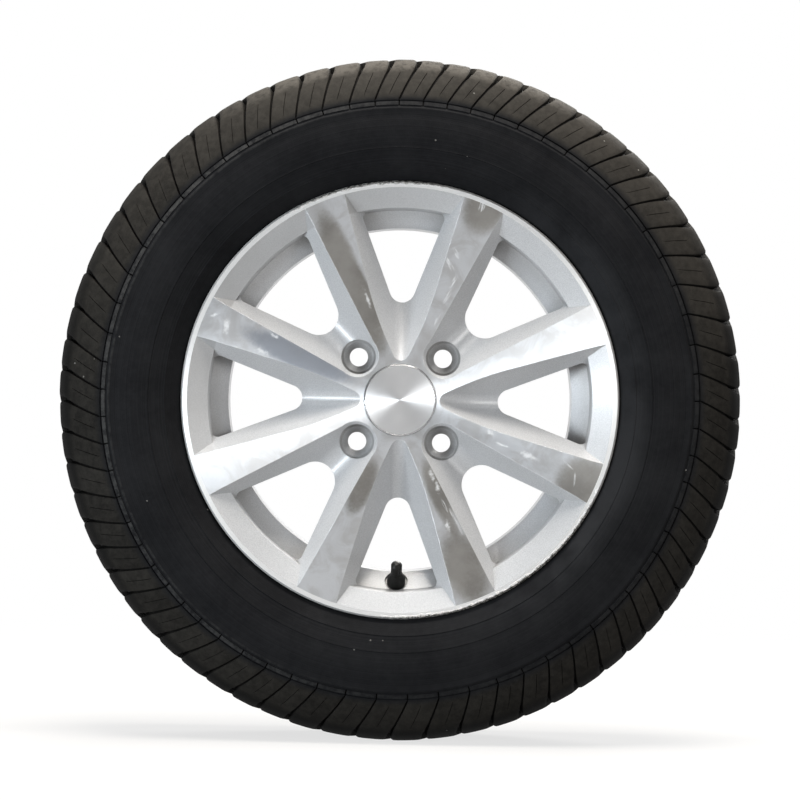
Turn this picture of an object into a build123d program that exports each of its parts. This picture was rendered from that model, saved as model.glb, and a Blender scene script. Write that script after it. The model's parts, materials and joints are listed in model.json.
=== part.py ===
from build123d import *
import os
from math import atan, cos, radians, sin, sqrt, tan

# Wheel and tyre assembly: a cast eight-spoke alloy wheel with turned faces, a tubeless tyre, a centre cap
# and a snap-in rubber valve. Millimetres. The axle is along Y, the front faces -Y and the valve is lowest.
# A profile is drawn as radius from the axle and distance outboard of the rim's centre plane.

# Rim: 13 x 5 J
bead_seat_dia = 330.2
rim_width = 127.0
flange_height = 17.5
flange_round = 9.5
lip_width = 12.0
lip_edge = 1.5
lip_band = 5.3
bead_seat_width = 20.0
bead_taper = 5.0
bead_heel = 4.4
hump_height = 1.2
seat_wall = 4.6
seat_draft = 1.5
well_depth = 16.1
well_wall = 4.5
well_length = 34.0
well_outboard = 32.0
well_slope_length = 15.0
valve_wall_rise = 4.0
dish_depth = 9.0
ledge_drop = 3.0

# Hub and spokes
mount_offset = 30.0
mount_pad_radius = 68.0
hub_face_drop = 9.0
hub_face_radius = 31.5
spoke_end_length = 10.1
spoke_back = 37.0
bolt_circle = 100.0
bolt_count = 4
bolt_hole_dia = 15.5
bolt_seat_dia = 25.0
bolt_seat_angle = 60.0
bolt_recess_dia = 29.0
bolt_recess_floor = 20.0
centre_bore_dia = 57.1
bore_chamfer = 1.0
cap_bore_dia = 54.4
cap_bore_length = 6.5
cap_recess_depth = 4.0
snap_groove_depth = 1.0
snap_groove_gap = 2.0

# Pockets and windows between the spokes, in two kinds that alternate
facet_slope = 50.0
pocket_end = 190.0
pocket_spread = 0.297
window_start = 82.0
window_half_angle = 21.1
window_corner = 6.0
plain_pocket_round = 9.0
plain_pocket_half_width = 25.4
plain_pocket_bend = 190.0
plain_pocket_turn = 30.0
plain_window_round = 10.8
bolt_pocket_round = 15.5
bolt_pocket_half_width = 17.4
bolt_window_round = 16.8

# Pockets cored into the back
back_pocket_width = 26.0
back_pocket_depth = 15.0
back_pocket_margin = 11.0
back_pocket_corner = 5.0
pad_relief_depth = 7.0
pad_relief_wall = 7.0
pad_relief_width = 24.0
pad_relief_corner = 5.0

# Tyre: 175/70 on the rim above, with a little of its tread worn away
tyre_dia = 573.2
section_width = 177.0
crown_width = 94.0
crown_drop = 0.8
shoulder_height = 67.0
shoulder_inset = 6.5
shoulder_bow = 7.0
lower_height = 11.5
lower_inset = 7.0
flange_gap = 2.4
sidewall_flat = 26.0
bead_clearance = 0.15
bead_width = 16.0
bead_core_height = 12.0
sidewall_thickness = 8.5
tread_thickness = 15.0
groove_count = 3
groove_spacing = 28.0
groove_width = 8.0
groove_depth = 7.5
slot_width = 3.4
slot_depth = 6.0
slot_lean = 23.0
first_slot_angle = 9.8
short_block = 0.88
medium_block = 1.0
long_block = 1.136
block_runs = (
    (long_block, 5),
    (medium_block, 6),
    (short_block, 6),
    (medium_block, 7),
    (long_block, 6),
    (medium_block, 7),
    (short_block, 5),
    (medium_block, 5),
    (long_block, 5),
    (medium_block, 5),
    (short_block, 5),
    (medium_block, 6),
)

# Centre cap
cap_dia = 60.0
cap_recess_clearance = 0.3
cap_flange_height = 1.8
cap_edge = 0.6
cap_rim_width = 1.0
cap_face_thickness = 0.8
cap_face_clearance = 0.1
cap_skin = 2.5
cap_leg_wall = 2.2
cap_leg_clearance = 0.3
cap_leg_count = 6
cap_leg_gap = 8.0
cap_hook_length = 4.5
cap_hook_height = 0.8
ring_strip = 1.6
ring_clearance = 0.02
ring_gap_angle = 24.0

# Snap-in valve, measured along its own axis from the seat that is cut into the rim
valve_seat_rise = 4.5
valve_hole_dia = 11.5
valve_spot_dia = 19.0
valve_web = 4.0
valve_inner_spot_depth = 0.4
valve_bulb_dia = 15.2
valve_bulb_length = 6.0
valve_neck_dia = 9.8
valve_rubber_length = 14.5
valve_foot_dia = 18.0
valve_foot_length = 5.0
valve_hole_clearance = 0.05
bond_clearance = 0.02
stem_thread_dia = 7.7
stem_shank_dia = 7.0
stem_length = 24.4
stem_tail = 8.0
stem_bore_dia = 5.2
stem_bore_depth = 18.0
stem_throat_dia = 3.2

# Valve core
core_length = 13.4
core_recess = 0.6
core_head_length = 3.6
core_head_flat = 3.4
core_barrel_dia = 3.9
core_bore_dia = 2.6
core_clearance = 0.04
core_guide_length = 2.0
core_floor_length = 1.2
core_seal_length = 2.0
core_seal_place = 5.0
pin_dia = 1.2
pin_proud = 0.3
pin_collar_dia = 2.2
pin_collar_length = 0.6
pin_collar_gap = 0.1
cup_dia = 3.0
cup_length = 1.8
cup_clearance = 0.02
spring_wire = 0.4
spring_dia = 2.0
spring_coils = 4

# Dust cap
dust_cap_wall = 0.75
dust_cap_clearance = 0.05
dust_cap_gap = 0.3
dust_cap_top = 2.2
dust_cap_cone = 2.5
dust_cap_tip_dia = 3.4
dust_cap_groove_count = 12
dust_cap_groove_width = 0.7
dust_cap_groove_depth = 0.3
dust_cap_plain_end = 2.5
cap_seal_thickness = 1.2
cap_seal_gap = 0.05

# Rim sizes worked out from those above
bead_radius = bead_seat_dia / 2
flange_radius = bead_radius + flange_height
flange_face = rim_width / 2
lip_face = flange_face + lip_width
hub_face = lip_face - hub_face_drop
seat_end = flange_face - bead_seat_width
seat_drop = bead_seat_width * tan(radians(bead_taper))
well_outer = bead_radius - well_depth
well_radius = well_outer - well_wall
well_inboard = well_outboard - well_length
ledge_outboard = well_inboard - well_slope_length
dish_radius = bead_radius - seat_wall
dish_floor = lip_face - dish_depth
turned_face_radius = flange_radius - lip_band - spoke_end_length
turned_slope = hub_face_drop / (turned_face_radius - hub_face_radius)
bolt_radius = bolt_circle / 2
spoke_step = 180 / bolt_count
tyre_radius = tyre_dia / 2
profile_plane = Plane(origin=(0, 0, 0), x_dir=(1, 0, 0), z_dir=(0, 0, -1))


def turned_face(radius):
    """Distance outboard of the lathe-turned front at a radius."""
    return min(lip_face, hub_face + (radius - hub_face_radius) * turned_slope)


def mirrored(points):
    """The same profile points on the inboard side, in reverse order."""
    return [(radius, -outboard) for radius, outboard in reversed(points)]


def pocket_depth(half_width, bottom_round):
    """Depth of a round-bottomed V that is this wide at its mouth."""
    slope = radians(facet_slope)
    if half_width < bottom_round * sin(slope):
        return bottom_round - sqrt(bottom_round**2 - half_width**2)
    return half_width * tan(slope) - bottom_round * (1 / cos(slope) - 1)


def window_outline(end_round):
    """A spoke window along X: a wedge with a round inner end and rounded corners at the rim."""
    tip = window_start + end_round - end_round / sin(radians(window_half_angle))
    side = (flange_radius - tip) * tan(radians(window_half_angle))
    with BuildSketch() as outline:
        with BuildLine():
            Polyline((tip, 0), (flange_radius, side), (flange_radius, -side), close=True)
        make_face()
        fillet(outline.vertices().sort_by(Axis.X)[0], end_round)
        Circle(dish_radius, mode=Mode.INTERSECT)
        fillet(outline.vertices().sort_by(Axis.X)[-2:], window_corner)
    return outline.sketch


# Cutters for the pockets and windows, along X with Z outboard. Both kinds of pocket have a round-bottomed V
# for a section, and a floor that sinks away from the hub.
facet_angle = radians(facet_slope)
floor_slope = pocket_spread * tan(facet_angle) - turned_slope
pocket_height = lip_face + lip_width

# A plain pocket's floor is straight, then sweeps up to the hub face
plain_floor = turned_face(window_start) - pocket_depth(plain_pocket_half_width, plain_pocket_round)
plain_tip = -plain_pocket_round * (1 / cos(facet_angle) - 1)
plain_side = (pocket_height - plain_tip) / tan(facet_angle)
with BuildPart() as plain_pocket:
    with BuildLine(Plane.XZ) as floor_path:
        floor_run = pocket_end - window_start
        straight = Line((pocket_end, plain_floor - floor_run * floor_slope), (window_start, plain_floor))
        JernArc(straight @ 1, straight % 1, plain_pocket_bend, -plain_pocket_turn)
    with BuildSketch(Plane(straight @ 0, x_dir=(0, -1, 0), z_dir=straight % 0)) as section:
        with BuildLine():
            Polyline((0, plain_tip), (plain_side, pocket_height), (-plain_side, pocket_height), close=True)
        make_face()
        fillet(section.vertices().sort_by(Axis.Y)[0], plain_pocket_round)
    sweep(path=floor_path.line)

# A bolt pocket is a round bowl about the bolt that runs on outwards
bolt_floor = turned_face(bolt_radius) - pocket_depth(bolt_pocket_half_width, bolt_pocket_round)
with BuildPart() as bolt_pocket:
    with BuildSketch(Plane(origin=(bolt_radius, 0, bolt_floor), x_dir=(0, 1, 0), z_dir=(1, 0, 0))) as half:
        with BuildLine():
            CenterArc((0, bolt_pocket_round), bolt_pocket_round, -90, facet_slope)
            rise = pocket_height - bolt_pocket_round * (1 - cos(facet_angle))
            edge = (bolt_pocket_round * sin(facet_angle), bolt_pocket_round * (1 - cos(facet_angle)))
            Polyline(edge, (edge[0] + rise / tan(facet_angle), pocket_height), (0, pocket_height), (0, 0))
        make_face()
    revolve(half.sketch, axis=Axis((bolt_radius, 0, 0), (0, 0, 1)))
    mirror(half.sketch, about=Plane.XZ)
    extrude(amount=pocket_end, dir=(1, 0, -floor_slope))

with BuildPart() as plain_window:
    extrude(window_outline(plain_window_round), amount=2 * lip_face)

with BuildPart() as bolt_window:
    extrude(window_outline(bolt_window_round), amount=2 * lip_face)

# Cutter for one bolt hole: bore, conical seat and recess for the socket
seat_face = mount_offset + bolt_recess_floor
seat_foot = seat_face - (bolt_seat_dia - bolt_hole_dia) / 2 / tan(radians(bolt_seat_angle / 2))
with BuildPart() as bolt_hole:
    with BuildSketch(Plane.XZ):
        with BuildLine():
            Polyline(
                (0, 0),
                (bolt_hole_dia / 2, 0),
                (bolt_hole_dia / 2, seat_foot),
                (bolt_seat_dia / 2, seat_face),
                (bolt_recess_dia / 2, seat_face),
                (bolt_recess_dia / 2, lip_face),
                (0, lip_face),
                close=True,
            )
        make_face()
    revolve(axis=Axis.Z)

# Cutter for the centre: hub bore, a groove for the cap's legs, the ridge they catch on, and the cap's recess
cap_seat = hub_face - cap_recess_depth
ridge_back = cap_seat - cap_bore_length
hook_face = ridge_back - cap_leg_clearance
leg_end = hook_face - cap_hook_length
bore_radius = centre_bore_dia / 2
groove_foot = leg_end - snap_groove_gap
groove_radius = bore_radius + snap_groove_depth
recess_radius = cap_dia / 2 + cap_recess_clearance
with BuildPart() as centre_bore:
    with BuildSketch(Plane.XZ):
        with BuildLine():
            Polyline(
                (0, 0),
                (bore_radius + mount_offset + bore_chamfer, 0),
                (bore_radius, mount_offset + bore_chamfer),
                (bore_radius, groove_foot),
                (groove_radius, groove_foot),
                (groove_radius, ridge_back),
                (cap_bore_dia / 2, ridge_back),
                (cap_bore_dia / 2, cap_seat),
                (recess_radius, cap_seat),
                (recess_radius, lip_face),
                (0, lip_face),
                close=True,
            )
        make_face()
    revolve(axis=Axis.Z)

# Rim profile: the side that the tyre sits on, then the open side
flange_mid = flange_round * (1 - cos(radians(45)))
bead_side = [
    (flange_radius, flange_face + flange_round),
    (flange_radius - flange_mid, flange_face + flange_mid),
    (flange_radius - flange_round, flange_face),
    (bead_radius + bead_heel, flange_face),
    (bead_radius, flange_face - bead_heel),
    (bead_radius - seat_drop, seat_end + hump_height),
    (bead_radius - seat_drop + hump_height, seat_end),
]
lip_ring = [
    (flange_radius - lip_band, lip_face),
    (flange_radius - lip_edge, lip_face),
]
valve_wall_top = (dish_radius - seat_draft, seat_end + valve_wall_rise)
valve_wall_foot = (well_radius, well_outboard + well_wall)
ledge = (bead_radius - seat_drop - ledge_drop, ledge_outboard)

# Seat of the valve in the sloping wall between the bead seat and the well
wall_slope = (valve_wall_top[1] - valve_wall_foot[1]) / (valve_wall_top[0] - valve_wall_foot[0])
back_slope = (seat_end - well_outboard) / (bead_side[-1][0] - well_outer)
valve_tilt = atan(wall_slope)
valve_seat_radius = well_outer + valve_seat_rise
wall_back = well_outboard + valve_seat_rise * back_slope
seat_rise = (valve_inner_spot_depth + valve_web) / cos(valve_tilt)
valve_plane = Plane(
    origin=(0, -(wall_back + seat_rise), -valve_seat_radius),
    x_dir=(1, 0, 0),
    z_dir=(0, -cos(valve_tilt), sin(valve_tilt)),
)
valve_axis = Axis(valve_plane.origin, valve_plane.z_dir)
valve_profile = Plane(valve_plane.origin, x_dir=(1, 0, 0), z_dir=-valve_plane.y_dir)

# Alloy wheel: the disc is cut into spokes, then the rim goes round it
with BuildPart(Plane.XZ) as alloy_wheel:
    with BuildSketch(profile_plane):
        with BuildLine():
            Polyline(
                (0, mount_offset),
                (mount_pad_radius, mount_offset),
                (mount_pad_radius + spoke_back - mount_offset, spoke_back),
                (well_radius + well_wall / 2, spoke_back),
                (dish_radius + seat_wall / 2, valve_wall_top[1]),
                (dish_radius + seat_wall / 2, dish_floor - lip_edge),
                (flange_radius - lip_band, lip_face),
                (turned_face_radius, lip_face),
                (hub_face_radius, hub_face),
                (0, hub_face),
                close=True,
            )
        make_face()
    revolve(axis=Axis.Y)
    with PolarLocations(0, bolt_count):
        add(plain_pocket.part, mode=Mode.SUBTRACT)
        add(plain_window.part, mode=Mode.SUBTRACT)
    with PolarLocations(0, bolt_count, start_angle=spoke_step):
        add(bolt_pocket.part, mode=Mode.SUBTRACT)
        add(bolt_window.part, mode=Mode.SUBTRACT)
    with PolarLocations(bolt_radius, bolt_count, start_angle=spoke_step):
        add(bolt_hole.part, mode=Mode.SUBTRACT)
    add(centre_bore.part, mode=Mode.SUBTRACT)

    # Cored pockets behind the spokes and reliefs in the mounting pad
    pocket_inner = window_start + back_pocket_margin
    pocket_outer = well_radius - back_pocket_margin
    with BuildSketch(Plane.XZ.offset(spoke_back)):
        with PolarLocations((pocket_inner + pocket_outer) / 2, 2 * bolt_count, start_angle=spoke_step / 2):
            RectangleRounded(pocket_outer - pocket_inner, back_pocket_width, back_pocket_corner)
    extrude(amount=back_pocket_depth, mode=Mode.SUBTRACT)
    relief_inner = bore_radius + pad_relief_wall
    relief_outer = mount_pad_radius - pad_relief_wall
    with BuildSketch(Plane.XZ.offset(mount_offset)):
        with PolarLocations((relief_inner + relief_outer) / 2, bolt_count):
            RectangleRounded(relief_outer - relief_inner, pad_relief_width, pad_relief_corner)
    extrude(amount=pad_relief_depth, mode=Mode.SUBTRACT)

    with BuildSketch(profile_plane):
        with BuildLine():
            Polyline(
                *bead_side,
                (well_outer, well_outboard),
                (well_outer, well_inboard),
                ledge,
                *mirrored(bead_side),
                *mirrored(lip_ring),
                (dish_radius - ledge_drop, -dish_floor),
                (ledge[0] - well_wall, ledge_outboard),
                (well_radius, well_inboard),
                valve_wall_foot,
                valve_wall_top,
                (dish_radius, dish_floor),
                *lip_ring,
                close=True,
            )
        make_face()
    revolve(axis=Axis.Y)

    # Valve hole, with a flat seat on each side of the wall
    with BuildSketch(valve_plane):
        Circle(valve_spot_dia / 2)
    extrude(amount=lip_face - wall_back, mode=Mode.SUBTRACT)
    with BuildSketch(valve_plane.offset(-valve_web)):
        Circle(valve_spot_dia / 2)
    extrude(amount=-valve_foot_length, mode=Mode.SUBTRACT)
    with BuildSketch(valve_plane):
        Circle(valve_hole_dia / 2)
    extrude(amount=-valve_web, mode=Mode.SUBTRACT)

# Tyre section, from the crown down the sidewall to the bead and back inside
crown_edge = (tyre_radius - crown_drop, crown_width / 2)
shoulder = (flange_radius + shoulder_height, section_width / 2 - shoulder_inset)
lower = (flange_radius + lower_height, section_width / 2 - lower_inset)
bead_face = flange_face - bead_clearance
bead_toe = bead_face - bead_width


def bowed(start, end, bow, share):
    """Point at a share of the way along a line that bows outwards by a parabola."""
    length = sqrt((end[0] - start[0]) ** 2 + (end[1] - start[1]) ** 2)
    height = 4 * bow * share * (1 - share) / length
    radius = start[0] + (end[0] - start[0]) * share + (end[1] - start[1]) * height
    outboard = start[1] + (end[1] - start[1]) * share - (end[0] - start[0]) * height
    return (radius, outboard)


shoulder_line = [bowed(crown_edge, shoulder, shoulder_bow, share) for share in (0, 0.3, 0.65)]
widest_radius = (shoulder[0] + lower[0]) / 2
widest = (widest_radius, section_width / 2)
inner_line = [(radius, outboard - sidewall_thickness) for radius, outboard in (lower, widest, shoulder)]
tyre_half = [
    (tyre_radius, groove_spacing),
    *shoulder_line,
    shoulder,
    (widest_radius + sidewall_flat / 2, section_width / 2),
    (widest_radius - sidewall_flat / 2, section_width / 2),
    lower,
    (flange_radius + flange_gap, flange_face + flange_round),
    (flange_radius - flange_mid + bead_clearance, flange_face + flange_mid - bead_clearance),
    (flange_radius - flange_round + bead_clearance, bead_face),
    (bead_radius + bead_heel + bead_clearance, bead_face),
    (bead_radius + bead_clearance, bead_face - bead_heel),
    (bead_radius + bead_clearance - seat_drop * bead_width / bead_seat_width, bead_toe),
    (bead_radius + bead_core_height, bead_toe),
    *inner_line,
    (crown_edge[0] - tread_thickness, crown_edge[1]),
]

# Cutter for one shoulder slot: a V that runs out at both ends, drawn about the shoulder so that it can lean
slot_pivot = bowed(crown_edge, shoulder, shoulder_bow, 0.5)[0]
slot_start = Vector(crown_edge[0] - slot_pivot, 0, crown_edge[1])
slot_end = Vector(shoulder[0] - slot_pivot, 0, shoulder[1])
with BuildPart() as slot_cutter:
    with BuildSketch(Plane(slot_start, x_dir=(0, -1, 0), z_dir=slot_end - slot_start)):
        with BuildLine():
            Polyline(
                (0, shoulder_bow - slot_depth),
                (slot_width, shoulder_bow + slot_depth),
                (-slot_width, shoulder_bow + slot_depth),
                close=True,
            )
        make_face()
    extrude(amount=(slot_end - slot_start).length)

# Blocks of three lengths come in runs, so that the tread hums on several notes.
# Neighbouring slots are half of one length and half of the next apart.
block_lengths = [length for length, count in block_runs for _ in range(count)]
block_turn = 360 / sum(block_lengths)
slot_angles = [first_slot_angle]
for length, next_length in zip(block_lengths, block_lengths[1:]):
    slot_angles.append(slot_angles[-1] + block_turn * (length + next_length) / 2)
slot_places = [Rot(0, 0, angle) * Pos(slot_pivot, 0, 0) for angle in slot_angles]

# Tyre: a ring with grooves round its crown and slots across both shoulders
with BuildPart(Plane.XZ, Plane.ZX) as tyre:
    with BuildSketch(profile_plane):
        with BuildLine():
            Polyline(*tyre_half, *mirrored(tyre_half), close=True)
        make_face()
    revolve(axis=Axis.Y)
    with BuildSketch(profile_plane):
        with Locations((tyre_radius - groove_depth / 2, 0)):
            with GridLocations(0, groove_spacing, 1, groove_count):
                Rectangle(groove_depth, groove_width)
    revolve(axis=Axis.Y, mode=Mode.SUBTRACT)
    with Locations(*slot_places):
        add(slot_cutter.part, rotation=(0, 0, -slot_lean), mode=Mode.SUBTRACT)

# Centre cap: a moulded disc with snap legs that catch behind the ridge
cap_top = hub_face + cap_flange_height
cap_radius = cap_dia / 2
face_floor = cap_top - cap_face_thickness
leg_radius = cap_bore_dia / 2 - cap_leg_clearance
leg_inner = leg_radius - cap_leg_wall
with BuildPart(Plane.XZ) as centre_cap:
    with BuildSketch(profile_plane):
        with BuildLine():
            Polyline(
                (0, face_floor),
                (cap_radius - cap_rim_width, face_floor),
                (cap_radius - cap_rim_width, cap_top),
                (cap_radius - cap_edge, cap_top),
                (cap_radius, cap_top - cap_edge),
                (cap_radius, cap_seat),
                (leg_radius, cap_seat),
                (leg_radius, hook_face),
                (cap_bore_dia / 2 + cap_hook_height, hook_face),
                (leg_radius, leg_end),
                (leg_inner, leg_end),
                (leg_inner, face_floor - cap_skin),
                (0, face_floor - cap_skin),
                close=True,
            )
        make_face()
    revolve(axis=Axis.Y)
    with BuildSketch(Plane.XZ.offset(leg_end)):
        with PolarLocations(leg_radius, cap_leg_count):
            Rectangle(2 * (leg_radius - leg_inner + cap_hook_height), cap_leg_gap)
    extrude(amount=cap_seat - leg_end, mode=Mode.SUBTRACT)

with BuildPart() as centre_cap_face:
    with BuildSketch(Plane.XZ.offset(face_floor)):
        Circle(cap_radius - cap_rim_width - cap_face_clearance)
    extrude(amount=cap_face_thickness)

with BuildPart() as cap_retaining_ring:
    with BuildSketch(profile_plane):
        with Locations((leg_inner - ring_clearance - ring_strip / 2, leg_end + cap_hook_length / 2)):
            Rectangle(ring_strip, ring_strip)
    revolve(axis=Axis.Y, revolution_arc=360 - ring_gap_angle)

# Valve body: rubber, snapped through the hole with a foot inside the rim
bulb_radius = valve_bulb_dia / 2
hole_radius = valve_hole_dia / 2 - valve_hole_clearance
bond_radius = stem_shank_dia / 2 + bond_clearance
foot_end = -valve_web - valve_foot_length
with BuildPart() as valve_body:
    with BuildSketch(valve_profile):
        with BuildLine():
            Polyline(
                (bond_radius, foot_end),
                (valve_foot_dia / 2, foot_end),
                (valve_foot_dia / 2, -valve_web),
                (hole_radius, -valve_web),
                (hole_radius, 0),
                (bulb_radius, 0),
                (bulb_radius, valve_bulb_length),
                (valve_neck_dia / 2, 2 * valve_bulb_length),
                (valve_neck_dia / 2, valve_rubber_length),
                (bond_radius, valve_rubber_length),
                close=True,
            )
        make_face()
    revolve(axis=valve_axis)

# Valve stem: turned brass, wider where its thread is
bore_floor = stem_length - stem_bore_depth
with BuildPart() as valve_stem:
    with BuildSketch(valve_profile):
        with BuildLine():
            Polyline(
                (stem_throat_dia / 2, -stem_tail),
                (stem_shank_dia / 2, -stem_tail),
                (stem_shank_dia / 2, valve_rubber_length),
                (stem_thread_dia / 2, valve_rubber_length),
                (stem_thread_dia / 2, stem_length - core_recess),
                (stem_thread_dia / 2 - core_recess, stem_length),
                (stem_bore_dia / 2, stem_length),
                (stem_bore_dia / 2, bore_floor),
                (stem_throat_dia / 2, bore_floor),
                close=True,
            )
        make_face()
    revolve(axis=valve_axis)

# Valve core barrel: a flatted head that screws into the stem, over a hollow barrel
core_top = stem_length - core_recess
core_end = core_top - core_length
guide_radius = pin_dia / 2 + core_clearance
head_radius = stem_bore_dia / 2 - core_clearance
barrel_radius = core_barrel_dia / 2
chamber_top = core_top - core_guide_length
chamber_floor = core_end + core_floor_length
with BuildPart() as valve_core_body:
    with BuildSketch(valve_profile):
        with BuildLine():
            Polyline(
                (guide_radius, core_end),
                (barrel_radius, core_end),
                (barrel_radius, core_top - core_head_length),
                (head_radius, core_top - core_head_length),
                (head_radius, core_top),
                (guide_radius, core_top),
                (guide_radius, chamber_top),
                (core_bore_dia / 2, chamber_top),
                (core_bore_dia / 2, chamber_floor),
                (guide_radius, chamber_floor),
                close=True,
            )
        make_face()
    revolve(axis=valve_axis)
    with BuildSketch(valve_plane.offset(chamber_top)):
        Rectangle(stem_bore_dia, stem_bore_dia)
        Rectangle(stem_bore_dia, core_head_flat, mode=Mode.SUBTRACT)
    extrude(amount=core_guide_length, mode=Mode.SUBTRACT)

with BuildPart() as valve_core_seal:
    with BuildSketch(valve_plane.offset(core_end + core_seal_place)):
        Circle(head_radius)
        Circle(barrel_radius + bond_clearance, mode=Mode.SUBTRACT)
    extrude(amount=core_seal_length)

# Valve core pin, with the collar that the spring lifts
collar_top = chamber_top - pin_collar_gap
collar_foot = collar_top - pin_collar_length
with BuildPart() as valve_core_pin:
    with BuildSketch(valve_profile):
        with BuildLine():
            Polyline(
                (0, core_end - cup_length),
                (pin_dia / 2, core_end - cup_length),
                (pin_dia / 2, collar_foot),
                (pin_collar_dia / 2, collar_foot),
                (pin_collar_dia / 2, collar_top),
                (pin_dia / 2, collar_top),
                (pin_dia / 2, core_top + pin_proud),
                (0, core_top + pin_proud),
                close=True,
            )
        make_face()
    revolve(axis=valve_axis)

with BuildPart() as valve_core_cup:
    with BuildSketch(valve_plane.offset(core_end - cup_clearance)):
        Circle(cup_dia / 2)
        Circle(pin_dia / 2 + bond_clearance, mode=Mode.SUBTRACT)
    extrude(amount=cup_clearance - cup_length)

# Valve core spring, from the barrel's floor to the pin's collar
spring_foot = chamber_floor + spring_wire / 2 + bond_clearance
spring_height = collar_foot - bond_clearance - spring_wire / 2 - spring_foot
with BuildPart() as valve_core_spring:
    with BuildLine() as coil:
        Helix(
            spring_height / spring_coils,
            spring_height,
            spring_dia / 2,
            center=valve_plane.offset(spring_foot).origin,
            direction=valve_plane.z_dir,
        )
    with BuildSketch(Plane(coil.line @ 0, x_dir=valve_plane.z_dir, z_dir=coil.line % 0)):
        Rectangle(spring_wire, spring_wire)
    sweep(path=coil.line, is_frenet=True)

# Dust cap: a sleeve over the stem's thread, closed by a cone and grooved for grip
sleeve_inner = stem_thread_dia / 2 + dust_cap_clearance
sleeve_outer = sleeve_inner + dust_cap_wall
sleeve_foot = valve_rubber_length + dust_cap_gap
seal_foot = stem_length + cap_seal_gap
seal_top = seal_foot + cap_seal_thickness
sleeve_top = seal_top + dust_cap_top
with BuildPart(valve_plane) as valve_cap:
    with BuildSketch(valve_profile):
        with BuildLine():
            Polyline(
                (sleeve_inner, sleeve_foot),
                (sleeve_outer, sleeve_foot),
                (sleeve_outer, sleeve_top - dust_cap_cone),
                (dust_cap_tip_dia / 2, sleeve_top),
                (0, sleeve_top),
                (0, seal_top),
                (sleeve_inner, seal_top),
                close=True,
            )
        make_face()
    revolve(axis=valve_axis)
    with BuildSketch(valve_plane.offset(sleeve_foot + dust_cap_plain_end)):
        with PolarLocations(sleeve_outer, dust_cap_groove_count):
            Rectangle(2 * dust_cap_groove_depth, dust_cap_groove_width)
    extrude(amount=sleeve_top - sleeve_foot, mode=Mode.SUBTRACT)

with BuildPart() as valve_cap_seal:
    with BuildSketch(valve_plane.offset(seal_foot)):
        Circle(sleeve_inner - dust_cap_clearance)
    extrude(amount=cap_seal_thickness)

# Label and write each piece
alloy_wheel.part.label = "alloy_wheel"
tyre.part.label = "tyre"
centre_cap.part.label = "centre_cap"
centre_cap_face.part.label = "centre_cap_face"
cap_retaining_ring.part.label = "cap_retaining_ring"
valve_body.part.label = "valve_body"
valve_stem.part.label = "valve_stem"
valve_core_body.part.label = "valve_core_body"
valve_core_seal.part.label = "valve_core_seal"
valve_core_pin.part.label = "valve_core_pin"
valve_core_cup.part.label = "valve_core_cup"
valve_core_spring.part.label = "valve_core_spring"
valve_cap.part.label = "valve_cap"
valve_cap_seal.part.label = "valve_cap_seal"

os.makedirs("parts", exist_ok=True)
export_step(alloy_wheel.part, "parts/alloy_wheel.step")
export_step(tyre.part, "parts/tyre.step")
export_step(centre_cap.part, "parts/centre_cap.step")
export_step(centre_cap_face.part, "parts/centre_cap_face.step")
export_step(cap_retaining_ring.part, "parts/cap_retaining_ring.step")
export_step(valve_body.part, "parts/valve_body.step")
export_step(valve_stem.part, "parts/valve_stem.step")
export_step(valve_core_body.part, "parts/valve_core_body.step")
export_step(valve_core_seal.part, "parts/valve_core_seal.step")
export_step(valve_core_pin.part, "parts/valve_core_pin.step")
export_step(valve_core_cup.part, "parts/valve_core_cup.step")
export_step(valve_core_spring.part, "parts/valve_core_spring.step")
export_step(valve_cap.part, "parts/valve_cap.step")
export_step(valve_cap_seal.part, "parts/valve_cap_seal.step")
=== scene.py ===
import json
from math import cos, pi, radians, sin

import bpy
import numpy as np
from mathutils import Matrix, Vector


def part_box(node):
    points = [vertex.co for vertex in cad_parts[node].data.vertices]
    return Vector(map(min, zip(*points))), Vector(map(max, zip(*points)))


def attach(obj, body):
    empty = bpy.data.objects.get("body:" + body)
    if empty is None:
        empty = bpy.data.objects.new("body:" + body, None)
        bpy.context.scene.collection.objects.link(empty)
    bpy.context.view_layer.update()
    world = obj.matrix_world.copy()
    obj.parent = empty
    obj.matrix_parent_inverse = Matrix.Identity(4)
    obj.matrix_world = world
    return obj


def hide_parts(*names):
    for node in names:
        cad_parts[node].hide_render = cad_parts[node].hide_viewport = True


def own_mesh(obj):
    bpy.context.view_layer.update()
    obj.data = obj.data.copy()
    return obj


# A worn road wheel, in metres. The axle lies along Y, the front faces -Y and the valve is lowest.
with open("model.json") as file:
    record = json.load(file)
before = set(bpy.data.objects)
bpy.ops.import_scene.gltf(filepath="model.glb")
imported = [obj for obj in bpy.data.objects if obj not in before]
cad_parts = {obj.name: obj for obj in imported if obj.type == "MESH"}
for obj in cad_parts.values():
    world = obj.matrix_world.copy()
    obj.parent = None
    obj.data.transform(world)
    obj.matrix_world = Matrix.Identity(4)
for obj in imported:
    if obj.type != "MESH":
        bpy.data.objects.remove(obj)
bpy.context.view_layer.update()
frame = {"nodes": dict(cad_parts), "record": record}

# Tyre: one ring of black rubber, cured in a mould that cuts its shoulders into blocks of three lengths.
# The blocks are scrubbed grey, a rib of short bars below them is rubbed pale, and two beads grip the rim.
tyre_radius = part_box("tyre")[1].x
tyre_half_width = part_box("tyre")[1].y
flange_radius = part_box("alloy_wheel")[1].x
lip_face = -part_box("alloy_wheel")[0].y
crown_drop, crown_half_width = 0.0008, 0.047
shoulder_height, shoulder_inset, shoulder_bow = 0.067, 0.0065, 0.007
lower_height, lower_inset = 0.0115, 0.007
crown_edge = np.array((tyre_radius - crown_drop, crown_half_width))
shoulder_edge = np.array((flange_radius + shoulder_height, tyre_half_width - shoulder_inset))
sidewall_low = np.array((flange_radius + lower_height, tyre_half_width - lower_inset))
main_groove_spacing = 0.028
main_groove_half_width = 0.004
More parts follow.
